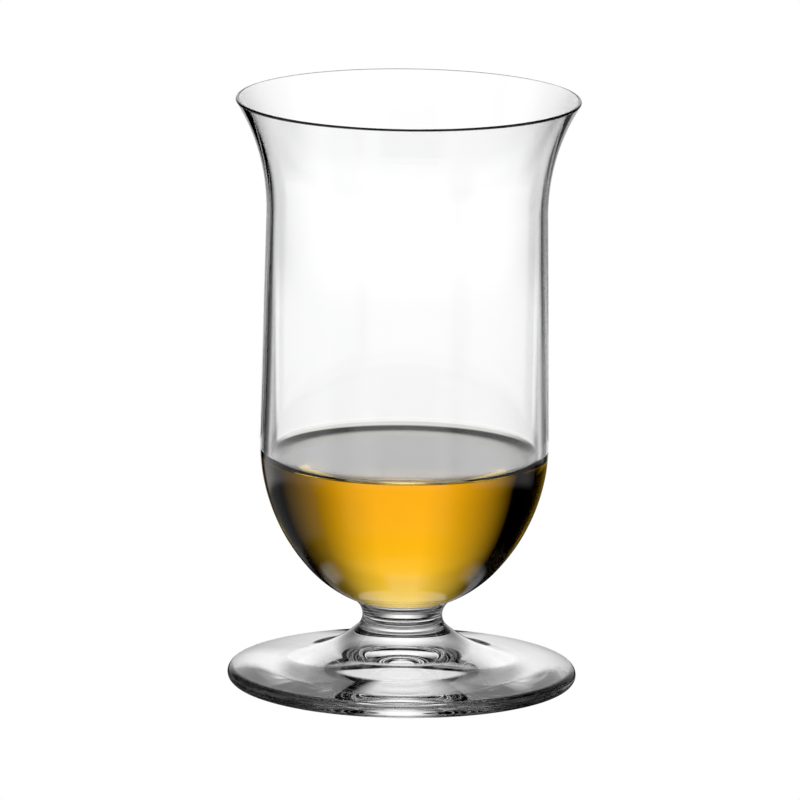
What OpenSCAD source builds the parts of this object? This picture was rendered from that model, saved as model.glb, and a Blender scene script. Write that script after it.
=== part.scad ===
// Nosing glass for whisky: a flared bowl on a short thick stem and a wide foot,
// with a measure of whisky in the bowl. Millimetres, +Z up.
// The origin is the centre of the plane that the foot stands on.
// Every glass surface is turned about Z. The outlines are arcs and straight
// lines that meet smoothly, so each is worked out from the few sizes below.

/* [Overall] */
// height from the table to the top of the lip
glass_height = 115; // [110:0.5:122]
// outside diameter of the lip
mouth_diameter = 66.8; // [62:0.2:72]

/* [Bowl] */
// widest outside diameter of the bowl
belly_diameter = 56.1; // [54:0.1:60]
// height of the widest place above the table
belly_height = 47.5; // [44:0.5:51]
// radius of the arc that the belly's side follows
belly_arc = 37; // [35:0.5:45]
// outside diameter at the narrowest place of the wall, below the flare
waist_diameter = 54.5; // [52:0.1:55.5]
// height of that narrowest place above the table
waist_height = 92.3; // [86:0.5:96]
// wall thickness at the belly
belly_wall = 1.9; // [1.4:0.1:2.4]
// wall thickness at the narrowest place
waist_wall = 1.3; // [1:0.1:1.8]
// thickness of the fire-polished lip
lip_thickness = 0.7; // [0.6:0.05:1.2]
// thickness of the glass under the middle of the bowl
bottom_thickness = 4.2; // [3:0.2:5.4]

/* [Stem] */
// narrowest outside diameter of the stem
neck_diameter = 15.5; // [14:0.25:17]
// height of the narrowest place above the table
neck_height = 13.1; // [12.4:0.1:13.6]
// radius of the hollow curve below the narrowest place
neck_arc = 3.1; // [2.6:0.1:3.4]

/* [Foot] */
// outside diameter of the foot
foot_diameter = 67.8; // [62:0.2:72]
// thickness of the foot at its rounded edge
edge_thickness = 3; // [2.6:0.1:3.4]
// slope of the foot's top near its edge, degrees
edge_slope = 8; // [6:0.5:10]
// steepest slope of the hollow under the foot, degrees
hollow_slope = 18.5; // [14:0.5:20]
// diameter at which the hollow is steepest: a dome inside it, a flare outside
hollow_turn = 24; // [20:0.5:30]
// inside diameter of the ring that the foot stands on
ring_inside = 59; // [54:0.5:59.5]

/* [Drink] */
// height of the level surface above the table
fill_level = 44.2; // [36:0.2:60]
// height that the drink climbs the wall
climb = 1.9; // [1.5:0.1:2.2]

/* [Hidden] */
$fn = 240;
// neighbouring curves pass each other by this much, so that they cross
// cleanly where they would otherwise only touch
lap = 0.004;

// ---- outside of the bowl
r_belly = belly_diameter / 2;
r_waist = waist_diameter / 2;
// centre of the belly's arc
side_x = r_belly - belly_arc;
side_z = belly_height;
// the straight wall touches the belly's arc and passes through point p
function wall_angle(p, r) =
    atan2(p[1] - side_z, p[0] - side_x) - acos(r / norm([p[0] - side_x, p[1] - side_z]));
// a point of that wall at height z, moved inwards by m
function wall_point(p, r, z, m) =
    let (a = wall_angle(p, r)) [p[0] + (p[1] - z) * tan(a) - m / cos(a), z];
waist = [r_waist, waist_height];

// the bottom's arc is centred on the axis and touches the belly's arc from inside
under_z = 14.45;
function cap_radius(z0, r) =
    let (h = side_z - z0) (side_x * side_x + h * h - r * r) / (2 * h - 2 * r);
function cap_joint(zc, r) = side_z - r * (side_z - zc) / norm([side_x, side_z - zc]);
cap_r = cap_radius(under_z, belly_arc);
cap_z = under_z + cap_r;

// ---- lip: a round bead, a little thicker than the wall that it ends
bead = lip_thickness / 2;
bead_in = bead - 0.03;
lip = [mouth_diameter / 2 - bead, glass_height - bead];
// flare arc: leaves the wall at p with the wall's direction a, and passes the
// lip's centre on its outer side (side = 1) or its inner side (side = -1)
function flare_radius(p, a, side) =
    let (d = lip - p) (d * d - bead_in * bead_in) / (2 * (d * [cos(a), sin(a)] + side * bead_in));
function flare_centre(p, a, side) = p + flare_radius(p, a, side) * [cos(a), sin(a)];
function flare_start(p, r) = wall_point(p, r, waist_height, 2 * lap);

// ---- inside of the bowl
in_r = belly_arc - belly_wall;
in_waist = [r_waist - waist_wall, waist_height];
in_cap_r = cap_radius(under_z + bottom_thickness, in_r);
in_cap_z = under_z + bottom_thickness + in_cap_r;

// ---- stem: the upper hollow curve touches the arc of the bowl's bottom
r_neck = neck_diameter / 2;
neck_up = (r_neck * r_neck + pow(cap_z - neck_height, 2) - cap_r * cap_r) / (2 * (cap_r - r_neck));
stem_top = neck_height + (cap_z - neck_height) * neck_up / (cap_r + neck_up);
// the lower hollow curve turns until it slopes down at this angle
stem_slope = 41;
stem_foot = [r_neck + neck_arc - neck_arc * sin(stem_slope), neck_height - neck_arc * cos(stem_slope)];

// ---- foot: one long hollow curve from the stem to the sloping top,
// which ends in the round edge
edge_r = edge_thickness / 2;
edge_c = [foot_diameter / 2 - edge_r, edge_r - lap];
slope_n = [sin(edge_slope), cos(edge_slope)];
edge_top = edge_c + (edge_r - lap) * slope_n;
// radius of the hollow curve, which starts at stem_foot with stem_slope
sweep_r = ((stem_foot - edge_top) * slope_n + lap) / (1 - cos(stem_slope - edge_slope));
sweep_c = stem_foot + sweep_r * [sin(stem_slope), cos(stem_slope)];
sweep_end = sweep_c[0] - sweep_r * slope_n[0];
// hollow underside: a dome in the middle and a flare around it, which slope
// alike where they meet; the flare runs out at the ring that the foot stands on
ring_slope = 1.2;
ring_r = ring_inside / 2;
turn_r = hollow_turn / 2;
dome_r = turn_r / sin(hollow_slope);
flare_r = (ring_r - turn_r) / (sin(hollow_slope) - sin(ring_slope));
flare_c = [ring_r + flare_r * sin(ring_slope), flare_r * cos(ring_slope)];
hollow_height = dome_r * (1 - cos(hollow_slope)) + flare_r * (cos(ring_slope) - cos(hollow_slope));

// ---- drink
// inside radius of the bowl at a height below the straight wall
function in_radius(z) = side_x + sqrt(in_r * in_r - pow(z - side_z, 2));
// the surface curls up the wall on a small arc and ends in a narrow rim
curl_top = fill_level + climb;
curl_rim = 0.12;
curl_x = in_radius(curl_top) - curl_rim - climb;

// half outline of everything inside one of the bowl's two surfaces:
// bottom arc, belly arc, straight wall and flare
module bowl_fill(arc, p, cr, cz, side) {
    a = wall_angle(p, arc);
    touch = side_z + arc * sin(a);
    start = flare_start(p, arc);
    fc = flare_centre(start, a, side);
    difference() {
        union() {
            translate([side_x, side_z]) circle(r = arc);
            polygon([[0, touch], wall_point(p, arc, touch, lap),
                     wall_point(p, arc, glass_height, lap), [0, glass_height]]);
            difference() {
                translate([0, waist_height]) square([fc[0], glass_height - waist_height]);
                translate(fc) circle(r = flare_radius(start, a, side));
            }
        }
        difference() {
            translate([0, -1]) square([80, cap_joint(cz, arc) + 1]);
            translate([0, cz]) circle(r = cr + lap);
        }
        translate([-100, -20]) square([100, 200]);
    }
}

module outside() bowl_fill(belly_arc, waist, cap_r, cap_z, 1);
module inside() bowl_fill(in_r, in_waist, in_cap_r, in_cap_z, -1);

module bowl() {
    // directions from the lip's centre square to the wall's two sides
    fo = flare_centre(flare_start(waist, belly_arc), wall_angle(waist, belly_arc), 1);
    fi = flare_centre(flare_start(in_waist, in_r), wall_angle(in_waist, in_r), -1);
    to_out = (fo - lip) / norm(fo - lip);
    to_in = (lip - fi) / norm(lip - fi);
    color("gainsboro", 0.35)
    rotate_extrude() {
        difference() {
            outside();
            inside();
            // the stem begins here
            square([60, stem_top]);
            // the wall ends square to itself inside the bead
            polygon([lip, lip + 60 * to_out, [120, 200], [-60, 200], lip + 60 * to_in]);
        }
        translate(lip) circle(r = bead);
    }
}

module stem() {
    color("gainsboro", 0.35)
    rotate_extrude()
    difference() {
        translate([0, stem_foot[1]])
            square([r_neck + min(neck_up, neck_arc), stem_top - stem_foot[1]]);
        intersection() {
            translate([r_neck + neck_up, neck_height]) circle(r = neck_up);
            translate([0, neck_height]) square([40, 40]);
        }
        translate([r_neck + neck_arc - lap, neck_height]) circle(r = neck_arc);
    }
}

module foot() {
    color("gainsboro", 0.35)
    rotate_extrude()
    difference() {
        union() {
            // under the hollow curve
            difference() {
                square([sweep_end, stem_foot[1]]);
                translate(sweep_c) circle(r = sweep_r);
            }
            // under the straight slope, down to the round edge
            polygon([[0, -1], [edge_c[0], -1], edge_c, edge_top, [0, edge_top[1] + edge_top[0] * tan(edge_slope)]]);
            translate(edge_c) circle(r = edge_r);
        }
        // the plane that the foot stands on
        translate([-1, -20]) square([80, 20]);
        translate([0, hollow_height - dome_r + lap]) circle(r = dome_r);
        difference() {
            translate([turn_r, -1]) square([ring_r - turn_r + 0.5, hollow_height + 1]);
            translate(flare_c) circle(r = flare_r);
        }
    }
}

module whisky() {
    color("orange", 0.6)
    rotate_extrude()
    difference() {
        intersection() {
            inside();
            square([60, curl_top]);
        }
        translate([0, fill_level]) square([curl_x, 60]);
        translate([curl_x, curl_top]) circle(r = climb);
    }
}

bowl();
stem();
foot();
whisky();
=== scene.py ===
import math

import bpy
import numpy as np
from mathutils import Matrix, Vector


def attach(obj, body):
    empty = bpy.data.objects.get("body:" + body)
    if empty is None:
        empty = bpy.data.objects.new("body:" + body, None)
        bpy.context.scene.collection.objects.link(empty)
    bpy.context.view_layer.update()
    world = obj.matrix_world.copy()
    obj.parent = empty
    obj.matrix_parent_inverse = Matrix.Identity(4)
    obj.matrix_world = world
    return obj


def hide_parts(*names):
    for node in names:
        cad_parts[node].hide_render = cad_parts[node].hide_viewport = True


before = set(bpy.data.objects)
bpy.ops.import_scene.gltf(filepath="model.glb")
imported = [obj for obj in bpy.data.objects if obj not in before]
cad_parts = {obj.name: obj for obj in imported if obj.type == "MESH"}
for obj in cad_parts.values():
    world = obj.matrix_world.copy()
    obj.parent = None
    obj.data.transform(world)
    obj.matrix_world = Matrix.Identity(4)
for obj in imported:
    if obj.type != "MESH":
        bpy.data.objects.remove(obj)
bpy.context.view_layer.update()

# ------------------------------------------------------------------ sizes, mm
GLASS_HEIGHT = 115.0
MOUTH_R = 66.8 / 2
BELLY_R = 56.1 / 2
BELLY_Z = 47.5
BELLY_ARC = 37.0
WAIST_R = 54.5 / 2
WAIST_Z = 92.3
BELLY_WALL = 1.9
WAIST_WALL = 1.3
BEAD = 0.35
BOTTOM = 4.2
UNDER_Z = 14.45
NECK_R = 15.5 / 2
NECK_Z = 13.1
NECK_ARC = 3.1
STEM_SLOPE = 41.0
FOOT_R = 67.8 / 2
EDGE_R = 1.5
EDGE_SLOPE = 8.0
HOLLOW_SLOPE = 18.5
TURN_R = 12.0
RING_SLOPE = 1.2
RING_IN = 59.0 / 2
FILL_Z = 44.2
CLIMB = 1.9
CURL_RIM = 0.12

TURNS = 256


def rad(a):
    return math.radians(a)


def unit(a):
    return np.array([math.cos(rad(a)), math.sin(rad(a))])


def angle(v):
    return math.degrees(math.atan2(v[1], v[0]))


# -------------------------------------------------- outline pieces, (r, z) mm
# A piece is (points, normals): normals point out of the material.
def arc(centre, r, a0, a1, sign, step):
    n = max(2, int(math.ceil(abs(rad(a1 - a0)) * r / step)))
    t = np.linspace(rad(a0), rad(a1), n + 1)
    d = np.stack([np.cos(t), np.sin(t)], 1)
    return np.array(centre) + r * d, sign * d


def line(p, q, normal, step):
    p, q = np.array(p, float), np.array(q, float)
    n = max(1, int(math.ceil(np.linalg.norm(q - p) / step)))
    t = np.linspace(0, 1, n + 1)[:, None]
    return p + (q - p) * t, np.tile(np.array(normal, float), (n + 1, 1))


SIDE = np.array([BELLY_R - BELLY_ARC, BELLY_Z])
LIP = np.array([MOUTH_R - BEAD, GLASS_HEIGHT - BEAD])


def wall_angle(p, r):
    d = np.array(p) - SIDE
    return angle(d) - math.degrees(math.acos(r / np.linalg.norm(d)))


def cap_radius(z0, r):
    h = SIDE[1] - z0
    return (SIDE[0] ** 2 + h * h - r * r) / (2 * h - 2 * r)


def flare(p, a, side, bead):
    d = LIP - p
    r = (d @ d - bead * bead) / (2 * (d @ unit(a) + side * bead))
    return r, p + r * unit(a)


CAP_R = cap_radius(UNDER_Z, BELLY_ARC)
CAP_Z = UNDER_Z + CAP_R
IN_R = BELLY_ARC - BELLY_WALL
IN_CAP_R = cap_radius(UNDER_Z + BOTTOM, IN_R)
IN_CAP_Z = UNDER_Z + BOTTOM + IN_CAP_R
NECK_UP = (NECK_R**2 + (CAP_Z - NECK_Z) ** 2 - CAP_R**2) / (2 * (CAP_R - NECK_R))
STEM_TOP = NECK_Z + (CAP_Z - NECK_Z) * NECK_UP / (CAP_R + NECK_UP)
STEM_FOOT = np.array([NECK_R + NECK_ARC, NECK_Z]) - NECK_ARC * np.array([math.sin(rad(STEM_SLOPE)), math.cos(rad(STEM_SLOPE))])


def bowl_side(waist, r, cap_r, cap_z, side, from_angle, step):
    """One of the bowl's two surfaces, from its bottom arc up to the lip."""
    a = wall_angle(waist, r)
    joint = angle(np.array([0, cap_z]) - SIDE)
    fr, fc = flare(waist, a, side, BEAD)
    to_lip = angle(LIP - fc)
    touch = SIDE + r * unit(a)
    return [
        arc([0, cap_z], cap_r, from_angle, joint, side, step),
        arc(SIDE, r, joint, a, side, step),
        line(touch, waist, side * unit(a), step),
        arc(fc, fr, 180 + a, to_lip, -side, step * 0.6),
    ], fc


def back(pieces):
    return [(p[::-1], n[::-1]) for p, n in reversed(pieces)]


WAIST = np.array([WAIST_R, WAIST_Z])
IN_WAIST = np.array([WAIST_R - WAIST_WALL, WAIST_Z])
weld = angle(np.array([0, STEM_TOP]) - np.array([0, CAP_Z]) + np.array([math.sqrt(CAP_R**2 - (STEM_TOP - CAP_Z) ** 2), 0]))
outer, fo = bowl_side(WAIST, BELLY_ARC, CAP_R, CAP_Z, 1, weld, 0.8)
inner, fi = bowl_side(IN_WAIST, IN_R, IN_CAP_R, IN_CAP_Z, -1, -90, 0.8)
bead = arc(LIP, BEAD, angle(fo - LIP), angle(LIP - fi), 1, 0.045)
if angle(fo - LIP) > angle(LIP - fi):
    raise ValueError("the lip turns the wrong way")
seam_r = float(outer[0][0][0][0])

bowl_outline = [(line([0, STEM_TOP], [seam_r, STEM_TOP], [0, -1], 1.2), 1)]
bowl_outline += [(p, 0) for p in outer]
bowl_outline += [(bead, 0)]
# the inner wall is wet up to the drink's rim
curl_top = FILL_Z + CLIMB
wet_top = math.degrees(math.asin((curl_top - SIDE[1]) / IN_R))
in_joint = angle(np.array([0, IN_CAP_Z]) - SIDE)
in_a = wall_angle(IN_WAIST, IN_R)
wet = [arc([0, IN_CAP_Z], IN_CAP_R, -90, in_joint, -1, 0.8), arc(SIDE, IN_R, in_joint, wet_top, -1, 0.8)]
dry = [arc(SIDE, IN_R, wet_top, in_a, -1, 0.8)] + inner[2:]
bowl_outline += [(p, 0) for p in back(dry)]
bowl_outline += [(p, 2) for p in back(wet)]

stem_outline = [
    (line([0, STEM_FOOT[1]], STEM_FOOT, [0, -1], 1.2), 1),
    (arc([NECK_R + NECK_ARC, NECK_Z], NECK_ARC, 270 - STEM_SLOPE, 180, -1, 0.12), 0),
    (arc([NECK_R + NECK_UP, NECK_Z], NECK_UP, 180, angle(np.array([seam_r, STEM_TOP]) - np.array([NECK_R + NECK_UP, NECK_Z])), -1, 0.12), 0),
    (line([seam_r, STEM_TOP], [0, STEM_TOP], [0, 1], 1.2), 1),
]

slope_n = np.array([math.sin(rad(EDGE_SLOPE)), math.cos(rad(EDGE_SLOPE))])
edge_c = np.array([FOOT_R - EDGE_R, EDGE_R])
edge_top = edge_c + EDGE_R * slope_n
sweep_r = ((STEM_FOOT - edge_top) @ slope_n) / (1 - math.cos(rad(STEM_SLOPE - EDGE_SLOPE)))
sweep_c = STEM_FOOT + sweep_r * np.array([math.sin(rad(STEM_SLOPE)), math.cos(rad(STEM_SLOPE))])
sweep_end = sweep_c - sweep_r * slope_n
# the hollow underside: a dome in the middle and a flare around it
dome_r = TURN_R / math.sin(rad(HOLLOW_SLOPE))
flare_r = (RING_IN - TURN_R) / (math.sin(rad(HOLLOW_SLOPE)) - math.sin(rad(RING_SLOPE)))
flare_c = np.array([RING_IN + flare_r * math.sin(rad(RING_SLOPE)), flare_r * math.cos(rad(RING_SLOPE))])
turn_z = flare_c[1] - flare_r * math.cos(rad(HOLLOW_SLOPE))
dome_c = np.array([0, turn_z - dome_r * math.cos(rad(HOLLOW_SLOPE))])
foot_outline = [
    (arc(dome_c, dome_r, 90, 90 - HOLLOW_SLOPE, -1, 0.8), 0),
    (arc(flare_c, flare_r, 270 - HOLLOW_SLOPE, 270 - RING_SLOPE, 1, 0.8), 0),
    (line([RING_IN, 0], [edge_c[0], 0], [0, -1], 0.8), 0),
    (arc(edge_c, EDGE_R, -90, 90 - EDGE_SLOPE, 1, 0.1), 0),
    (line(edge_top, sweep_end, slope_n, 0.8), 0),
    (arc(sweep_c, sweep_r, 270 - EDGE_SLOPE, 270 - STEM_SLOPE, -1, 0.4), 0),
    (line(STEM_FOOT, [0, STEM_FOOT[1]], [0, 1], 1.2), 1),
]

# the drink stops a hair short of the wall; its surface is a thin skin of its own
GAP = 0.02
SKIN = 0.2


def drink_top(drop):
    """The drink's level surface and its curl at the wall, lowered by drop."""
    return [
        line([rim[0], curl_top - drop], [curl_x + CLIMB, curl_top - drop], [0, 1], 0.2),
        arc([curl_x, curl_top - drop], CLIMB, 0, -90, -1, 0.06),
        line([curl_x, FILL_Z - drop], [0, FILL_Z - drop], [0, 1], 0.8),
    ]


w_r, w_cap_r = IN_R - GAP, IN_CAP_R - GAP
w_joint = angle(np.array([0, IN_CAP_Z]) - SIDE)
rim = SIDE + w_r * unit(math.degrees(math.asin((curl_top - SIDE[1]) / w_r)))
curl_x = SIDE[0] + math.sqrt(IN_R**2 - (curl_top - SIDE[1]) ** 2) - CURL_RIM - CLIMB
BODY_DROP = 0.05
body_end = math.degrees(math.asin((curl_top - BODY_DROP - SIDE[1]) / w_r))
body_top = drink_top(BODY_DROP)
body_top[0][0][0] = SIDE + w_r * unit(body_end)
whisky_outline = [(arc([0, IN_CAP_Z], w_cap_r, -90, w_joint, 1, 0.8), 0), (arc(SIDE, w_r, w_joint, body_end, 1, 0.8), 0)]
whisky_outline += [(p, 0) for p in body_top]
skin_under = back(drink_top(SKIN))
skin_outline = [((p, -n), 1) for p, n in skin_under]
skin_outline += [(line([rim[0], curl_top - SKIN], rim, [1, 0], 0.1), 1)]
skin_outline += [(p, 0) for p in drink_top(0)]


def turn(name, outline, materials):
    """Turns an outline about Z into a closed, smooth mesh with exact normals."""
    verts, faces, slots, normals = [], [], [], []
    c, s = np.cos(np.arange(TURNS) * 2 * math.pi / TURNS), np.sin(np.arange(TURNS) * 2 * math.pi / TURNS)

    def ring(p):
        if p[0] < 1e-6:
            verts.append((0, 0, p[1]))
            return len(verts) - 1
        k = len(verts)
        verts.extend(zip(p[0] * c, p[0] * s, [p[1]] * TURNS))
        return range(k, k + TURNS)

    total = sum(len(pts) - 1 for (pts, _), _ in outline)
    first = last = None
    done = 0
    for (pts, nrm), m in outline:
        for j in range(len(pts) - 1):
            a = ring(pts[j]) if last is None else last
            if first is None:
                first = a
            done += 1
            closing = done == total and pts[-1][0] > 1e-6
            b = first if closing else ring(pts[j + 1])
            na, nb = nrm[j], nrm[j + 1]
            for i in range(TURNS):
                k = (i + 1) % TURNS
                va = [a] if isinstance(a, int) else [a[i], a[k]]
                vb = [b] if isinstance(b, int) else [b[k], b[i]]
                face = va + vb
                mid = (i + 0.5) * 2 * math.pi / TURNS
                th = [2 * math.pi * q / TURNS for q in (i, i + 1)]
                ta = [mid] if isinstance(a, int) else th
                tb = [mid] if isinstance(b, int) else th[::-1]
                ns = [(na[0] * math.cos(t), na[0] * math.sin(t), na[1]) for t in ta]
                ns += [(nb[0] * math.cos(t), nb[0] * math.sin(t), nb[1]) for t in tb]
                faces.append(face)
                slots.append(m)
                normals.extend(ns)
            last = b
    mesh = bpy.data.meshes.new(name)
    mesh.from_pydata([tuple(x / 1000 for x in v) for v in verts], [], faces)
    for m in materials:
        mesh.materials.append(m)
    mesh.polygons.foreach_set("material_index", slots)
    mesh.polygons.foreach_set("use_smooth", [True] * len(faces))
    mesh.update()
    mesh.normals_split_custom_set(normals)
    obj = bpy.data.objects.new(name, mesh)
    bpy.context.scene.collection.objects.link(obj)
    return obj


# ------------------------------------------------------------------ materials
def material(name):
    m = bpy.data.materials.new(name)
    m.use_nodes = True
    m.node_tree.nodes.clear()
    return m, m.node_tree.nodes, m.node_tree.links


def math_node(n, l, op, a, b=None):
    m = n.new("ShaderNodeMath")
    m.operation = op
    for k, v in enumerate((a, b)):
        if v is None:
            continue
        if isinstance(v, (int, float)):
            m.inputs[k].default_value = v
        else:
            l.new(v, m.inputs[k])
    return m.outputs[0]


def cloud(n, l, scale, stretch):
    """Soft noise in the piece's own metres, drawn out along Z by stretch."""
    coord = n.new("ShaderNodeTexCoord")
    mapping = n.new("ShaderNodeMapping")
    mapping.inputs["Scale"].default_value = (1, 1, 1 / stretch)
    noise = n.new("ShaderNodeTexNoise")
    noise.inputs["Scale"].default_value = scale
    noise.inputs["Detail"].default_value = 1.5
    l.new(coord.outputs["Object"], mapping.inputs["Vector"])
    l.new(mapping.outputs["Vector"], noise.inputs["Vector"])
    return noise.outputs[0]


def tint(n, l, p, value, low, high):
    """The shader's colour moves between low and high with value."""
    ramp = n.new("ShaderNodeValToRGB")
    ramp.color_ramp.elements[0].position = 0.35
    ramp.color_ramp.elements[1].position = 0.65
    ramp.color_ramp.elements[0].color = low + (1,)
    ramp.color_ramp.elements[1].color = high + (1,)
    l.new(value, ramp.inputs[0])
    l.new(ramp.outputs[0], p.inputs["Base Color"])


def glass_material(name, ior, stretch=3.0, wave=0.000003):
    """Clear and polished. Hot-worked glass is never quite even: its surface
    waves a little, its tint and its polish vary a trace."""
    m, n, l = material(name)
    out = n.new("ShaderNodeOutputMaterial")
    p = n.new("ShaderNodeBsdfPrincipled")
    tint(n, l, p, cloud(n, l, 35.0, stretch), (0.992, 0.995, 0.994), (1.0, 1.0, 1.0))
    polish = n.new("ShaderNodeMapRange")
    polish.inputs["From Min"].default_value = 0.35
    polish.inputs["From Max"].default_value = 0.75
    polish.inputs["To Max"].default_value = 0.012
    l.new(cloud(n, l, 90.0, 1.0), polish.inputs["Value"])
    l.new(polish.outputs[0], p.inputs["Roughness"])
    bump = n.new("ShaderNodeBump")
    bump.inputs["Distance"].default_value = wave
    l.new(cloud(n, l, 60.0, stretch), bump.inputs["Height"])
    l.new(bump.outputs[0], p.inputs["Normal"])
    p.inputs["IOR"].default_value = ior
    p.inputs["Transmission Weight"].default_value = 1.0
    l.new(p.outputs[0], out.inputs["Surface"])
    return m


def seam_material():
    m, n, l = material("seam")
    out = n.new("ShaderNodeOutputMaterial")
    p = n.new("ShaderNodeBsdfTransparent")
    l.new(p.outputs[0], out.inputs["Surface"])
    return m


def whisky_material(name, ior):
    """The drink's body: its colour comes from the depth that light crosses,
    with faint strands in it."""
    m, n, l = material(name)
    out = n.new("ShaderNodeOutputMaterial")
    p = n.new("ShaderNodeBsdfPrincipled")
    tint(n, l, p, cloud(n, l, 45.0, 2.0), (1.0, 0.99, 0.97), (1.0, 1.0, 1.0))
    p.inputs["Roughness"].default_value = 0.0
    p.inputs["IOR"].default_value = ior
    p.inputs["Transmission Weight"].default_value = 1.0
    l.new(p.outputs[0], out.inputs["Surface"])
    v = n.new("ShaderNodeVolumeAbsorption")
    v.inputs["Color"].default_value = (1 - 0.8 / 120, 1 - 17.0 / 120, 1 - 110.0 / 120, 1)
    v.inputs["Density"].default_value = 120.0
    l.new(v.outputs[0], n["Material Output"].inputs["Volume"])
    return m


def wet_material(name, ior):
    """Glass that the drink wets. Seen through the stem it mirrors, so that the
    stem and the foot stay clear instead of showing the drink."""
    m = glass_material(name, ior)
    n, l = m.node_tree.nodes, m.node_tree.links
    mirror = n.new("ShaderNodeBsdfGlossy")
    mirror.inputs["Color"].default_value = (1, 1, 1, 1)
    mirror.inputs["Roughness"].default_value = 0.0
    path = n.new("ShaderNodeLightPath")
    past_seam = math_node(n, l, "GREATER_THAN", path.outputs["Transparent Depth"], 0.5)
    past_more = math_node(n, l, "GREATER_THAN", path.outputs["Ray Depth"], 1.5)
    geo = n.new("ShaderNodeNewGeometry")
    either = math_node(n, l, "MAXIMUM", past_seam, past_more)
    both = math_node(n, l, "MULTIPLY", either, geo.outputs["Backfacing"])
    mix = n.new("ShaderNodeMixShader")
    l.new(both, mix.inputs[0])
    l.new(n["Principled BSDF"].outputs[0], mix.inputs[1])
    l.new(mirror.outputs[0], mix.inputs[2])
    l.new(mix.outputs[0], n["Material Output"].inputs["Surface"])
    return m


glass = glass_material("clear_glass", 1.52)
seam = seam_material()
wet_glass = wet_material("wet_glass", 1.52 / 1.36)
drink = whisky_material("amber_whisky", 1.0)
drink_skin = glass_material("whisky_skin", 1.36, 1.0, 0.000002)
skin_shader = drink_skin.node_tree.nodes["Principled BSDF"]
skin_shader.inputs["Coat Weight"].default_value = 0.8
skin_shader.inputs["Coat Roughness"].default_value = 0.0
skin_shader.inputs["Coat IOR"].default_value = 1.5

bowl = turn("nosing_bowl", bowl_outline, [glass, seam, wet_glass])
stem = turn("short_stem", stem_outline, [glass, seam])
foot = turn("broad_foot", foot_outline, [glass, seam])
whisky = turn("whisky_measure", whisky_outline, [drink])
skin = turn("whisky_surface", skin_outline, [drink_skin, seam])

for piece, node, slot in (
    (bowl, "bowl", "clear_glass"),
    (stem, "stem", "clear_glass"),
    (foot, "foot", "clear_glass"),
    (whisky, "whisky", "amber_whisky"),
    (skin, "whisky", "amber_whisky"),
):
    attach(piece, "root")
    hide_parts(node)

# ------------------------------------------------------- the floor and the light
# Soft studio light for glass, given as brightness in the world and on a glowing floor: a bright background behind it
# (azimuth 90 degrees), a dark band on either side in place of a flag, which gives the edges their dark lines, painted
# shade on the floor close to the foot, and pale fill all round. The floor is no lamp: its light and shade are painted
# into its glow. The camera itself sees a plain white floor and backdrop.
# A floor band ends at a distance from the axis in metres and a sky band at an
# elevation in degrees; each holds (azimuth in degrees, brightness) pairs.
GLOW = ((50, 0.0), (60, 0.1), (67, 0.22), (72, 0.46), (78, 0.8), (84, 1.06), (94, 1.1), (98, 0.97), (104, 0.68), (112, 0.34), (118, 0.1), (121, 0.0))


def glow(k, before, after):
    """The glow behind the glass at strength k, between the fill on either side."""
    return before + tuple((az, k * v) for az, v in GLOW) + after


# Painted light and shade on the glowing floor, seen only by reflected and refracted rays: bright under the middle of
# the foot, mostly dark from there out to 0.13 m, brighter further out.
FLOOR_PAINTED_LIGHT = (
    (0.012, ((0, 0.9), (360, 0.9))),
    (0.023, ((0, 0.0), (180, 0.0), (245, 0.0), (255, 0.9), (285, 0.9), (310, 0.1), (360, 0.0))),
    (0.032, ((0, 0.6), (22, 0.6), (45, 0.35), (70, 0.3), (80, 0.0), (112, 0.0), (124, 0.2), (150, 0.15), (164, 0.75), (185, 0.75), (200, 0.0), (250, 0.2), (280, 0.2), (300, 0.0), (335, 0.0), (350, 0.5), (360, 0.6))),
    (0.05, ((0, 0.0), (360, 0.0))),
    (0.13, ((0, 0.0), (118, 0.0), (127, 0.15), (145, 0.12), (160, 0.1), (182, 0.2), (195, 0.2), (203, 0.0), (218, 0.0), (230, 0.15), (302, 0.15), (312, 0.0), (360, 0.0))),
    (0.20, ((0, 0.35), (20, 0.3), (35, 0.0), (72, 0.0), (80, 0.7), (104, 0.8), (111, 0.0), (121, 0.0), (128, 0.6), (136, 0.75), (144, 0.7), (152, 0.6), (165, 0.45), (203, 0.4), (211, 0.1), (228, 0.2), (235, 0.5), (300, 0.5), (306, 0.1), (320, 0.1), (330, 0.5), (345, 0.5), (360, 0.35))),
    (0.37, ((0, 0.7), (30, 0.7), (50, 0.7), (56, 0.1), (65, 0.1), (70, 0.98), (90, 1.0), (109, 1.0), (111, 0.0), (128, 0.0), (134, 0.7), (150, 0.9), (205, 0.9), (215, 0.5), (225, 0.5), (232, 0.9), (302, 0.9), (310, 0.4), (320, 0.8), (345, 0.8), (360, 0.7))),
    (0.70, glow(1.0, ((0, 0.8), (30, 0.8), (48, 0.8)), ((127, 0.0), (133, 0.7), (145, 0.9), (340, 0.9), (360, 0.8)))),
    (40.0, glow(1, ((0, 0.8), (18, 0.4), (28, 0.0)), ((138, 0.0), (150, 0.3), (160, 0.9), (350, 0.9), (360, 0.8)))),
)
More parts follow.
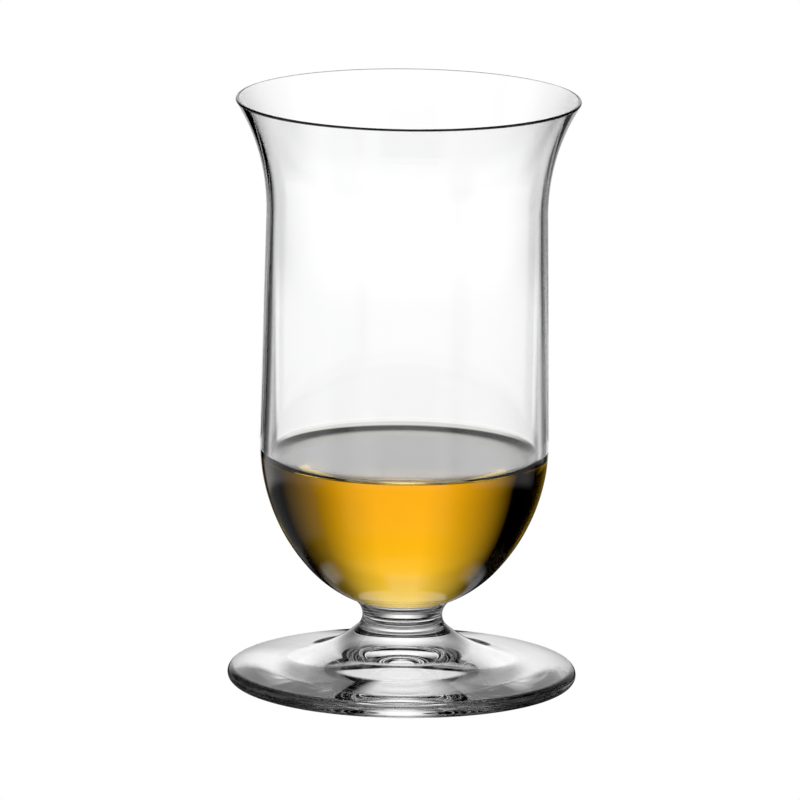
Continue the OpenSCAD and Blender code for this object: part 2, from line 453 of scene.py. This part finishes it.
SKY_BANDS = (
    (16, glow(1, ((0, 0.5), (12, 0.1), (20, 0.0)), ((150, 0.0), (162, 0.3), (180, 0.6), (190, 0.7), (235, 0.7), (246, 0.05), (289, 0.05), (297, 0.7), (303, 0.7), (311, 0.3), (320, 0.7), (350, 0.7), (360, 0.5)))),
    (38, glow(0.86, ((0, 0.5), (12, 0.1), (20, 0.0)), ((150, 0.0), (163, 0.35), (183, 0.5), (190, 0.15), (199, 0.15), (206, 0.6), (234, 0.6), (248, 0.0), (287, 0.0), (297, 0.7), (328, 0.7), (338, 0.1), (348, 0.2), (360, 0.5)))),
    (52, ((0, 0.4), (12, 0.1), (30, 0.0), (60, 0.1), (75, 0.5), (90, 0.75), (105, 0.4), (120, 0.2), (140, 0.1), (165, 0.2), (180, 0.4), (190, 0.1), (200, 0.5), (330, 0.5), (340, 0.1), (352, 0.4), (360, 0.4))),
    (70, ((0, 0.4), (20, 0.2), (60, 0.3), (90, 0.7), (120, 0.3), (145, 0.1), (165, 0.3), (190, 0.3), (200, 0.5), (330, 0.5), (340, 0.3), (350, 0.4), (360, 0.4))),
    (90, ((0, 0.5), (90, 0.7), (160, 0.5), (250, 0.7), (300, 0.6), (360, 0.5))),
)


def light_field(n, l, vec, bands, level, soft):
    """Brightness from a vector's azimuth and from level, one band after another."""
    xyz = n.new("ShaderNodeSeparateXYZ")
    l.new(vec, xyz.inputs[0])
    turn_by = math_node(n, l, "ARCTAN2", xyz.outputs[1], xyz.outputs[0])
    share = math_node(n, l, "FRACT", math_node(n, l, "DIVIDE", turn_by, 2 * math.pi))
    value = None
    start = None
    for end, stops in bands:
        ramp = n.new("ShaderNodeValToRGB")
        el = ramp.color_ramp.elements
        ramp.color_ramp.interpolation = "LINEAR"
        while len(el) < len(stops):
            el.new(0.5)
        for e, (az, v) in zip(el, stops):
            e.position = az / 360
        for e, (az, v) in zip(el, stops):
            e.color = (v, v, v, 1)
        l.new(share, ramp.inputs[0])
        if value is None:
            value = ramp.outputs[0]
        else:
            step = n.new("ShaderNodeMapRange")
            step.interpolation_type = "SMOOTHSTEP"
            step.inputs["From Min"].default_value = start * (1 - soft)
            step.inputs["From Max"].default_value = start * (1 + soft)
            l.new(level(xyz), step.inputs["Value"])
            mix = n.new("ShaderNodeMix")
            mix.data_type = "RGBA"
            l.new(step.outputs[0], mix.inputs[0])
            l.new(value, mix.inputs[6])
            l.new(ramp.outputs[0], mix.inputs[7])
            value = mix.outputs[2]
        start = end
    return value


def seen_white(n, l, value):
    """White where the camera looks straight at it, value for every other ray."""
    path = n.new("ShaderNodeLightPath")
    mix = n.new("ShaderNodeMix")
    mix.data_type = "RGBA"
    l.new(path.outputs["Is Camera Ray"], mix.inputs[0])
    l.new(value, mix.inputs[6])
    mix.inputs[7].default_value = (1, 1, 1, 1)
    return mix.outputs[2]


# The floor is no lamp but glows: plain white to the camera, and painted light and shade from the floor bands to every
# other ray.
mesh = bpy.data.meshes.new("floor")
s = 40.0
mesh.from_pydata([(-s, -s, 0), (s, -s, 0), (s, s, 0), (-s, s, 0)], [], [(0, 1, 2, 3)])
floor = bpy.data.objects.new("floor", mesh)
bpy.context.scene.collection.objects.link(floor)
floor.location.z = -0.00005
fm, n, l = material("floor")
out = n.new("ShaderNodeOutputMaterial")
e = n.new("ShaderNodeEmission")
geo = n.new("ShaderNodeNewGeometry")


def floor_radius(xyz):
    return math_node(n, l, "SQRT", math_node(n, l, "ADD",
        math_node(n, l, "MULTIPLY", xyz.outputs[0], xyz.outputs[0]),
        math_node(n, l, "MULTIPLY", xyz.outputs[1], xyz.outputs[1])))


l.new(seen_white(n, l, light_field(n, l, geo.outputs["Position"], FLOOR_PAINTED_LIGHT, floor_radius, 0.1)), e.inputs[0])
l.new(e.outputs[0], out.inputs["Surface"])
fm.cycles.emission_sampling = "NONE"
mesh.materials.append(fm)

world = bpy.data.worlds.new("studio")
bpy.context.scene.world = world
world.use_nodes = True
n, l = world.node_tree.nodes, world.node_tree.links
coord = n.new("ShaderNodeTexCoord")


def sky_elevation(xyz):
    return math_node(n, l, "MULTIPLY", math_node(n, l, "ARCSINE", xyz.outputs[2]), 180 / math.pi)


sky = light_field(n, l, coord.outputs["Generated"], SKY_BANDS, sky_elevation, 0.15)
l.new(seen_white(n, l, sky), n["Background"].inputs["Color"])
n["Background"].inputs["Strength"].default_value = 1.0
world.cycles.sampling_method = "NONE"

# ----------------------------------------------------------------- the camera
cam_data = bpy.data.cameras.new("camera")
cam_data.sensor_width = 36.0
cam_data.lens = 510.0
cam_data.clip_start = 0.1
cam_data.clip_end = 200.0
cam = bpy.data.objects.new("camera", cam_data)
bpy.context.scene.collection.objects.link(cam)
bpy.context.scene.camera = cam
ELEVATION, DISTANCE, ROLL = 11.65, 2.196, -0.72
middle = Vector((0, 0, 0.0575))
toward = Vector((0, math.cos(rad(ELEVATION)), -math.sin(rad(ELEVATION))))
up = Vector((0, math.sin(rad(ELEVATION)), math.cos(rad(ELEVATION))))
cam.location = middle - DISTANCE * toward
PX = 36.0 / 510.0 / 800.0
# the image's centre lies this far from the glass's middle, in pixels
off_x, off_y = 400 - 405.0, 400 - 390.5
aim = middle + Vector((1, 0, 0)) * off_x * PX * DISTANCE - up * off_y * PX * DISTANCE
look = (aim - cam.location).normalized()
cam.rotation_mode = "QUATERNION"
q = look.to_track_quat("-Z", "Y")
cam.rotation_quaternion = (Matrix.Rotation(rad(ROLL), 4, look) @ q.to_matrix().to_4x4()).to_quaternion()

sc = bpy.context.scene
sc.view_settings.view_transform = "Standard"
sc.view_settings.look = "None"
sc.cycles.max_bounces = 32
sc.cycles.transmission_bounces = 32
sc.cycles.glossy_bounces = 16
sc.cycles.transparent_max_bounces = 32
sc.cycles.volume_bounces = 0
sc.cycles.blur_glossy = 0.0
sc.cycles.caustics_reflective = True
sc.cycles.caustics_refractive = True
sc.cycles.sample_clamp_indirect = 0

bpy.context.view_layer.update()
